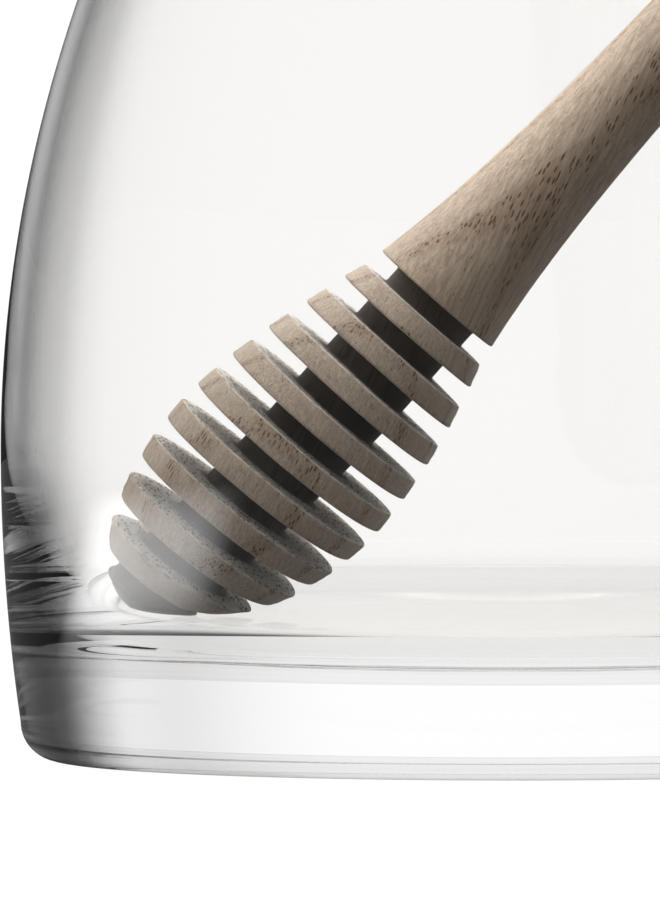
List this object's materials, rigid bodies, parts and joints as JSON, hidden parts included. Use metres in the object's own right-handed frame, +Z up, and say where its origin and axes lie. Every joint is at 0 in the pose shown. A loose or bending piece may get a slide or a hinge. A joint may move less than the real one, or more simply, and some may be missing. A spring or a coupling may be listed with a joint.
{
  "type": "honey pot",
  "caption": "Heavy-based, barrel-shaped honey pot of clear glass, empty, with a turned oak honey dipper leaning in it.",
  "frame": {"origin": "centre of the pot's flat underside, where it rests on the table", "axes": "+Z up through the mouth, -Y towards the viewer, +X to the viewer's right, the way the dipper's handle leans"},
  "size_m": [0.1196, 0.1008, 0.1292],
  "materials": {
    "glass": "polished",
    "oak": "bare, fine sanded"
  },
  "bodies": {
    "root": {"pot": "glass", "dipper": "oak"}
  },
  "joints": []
}
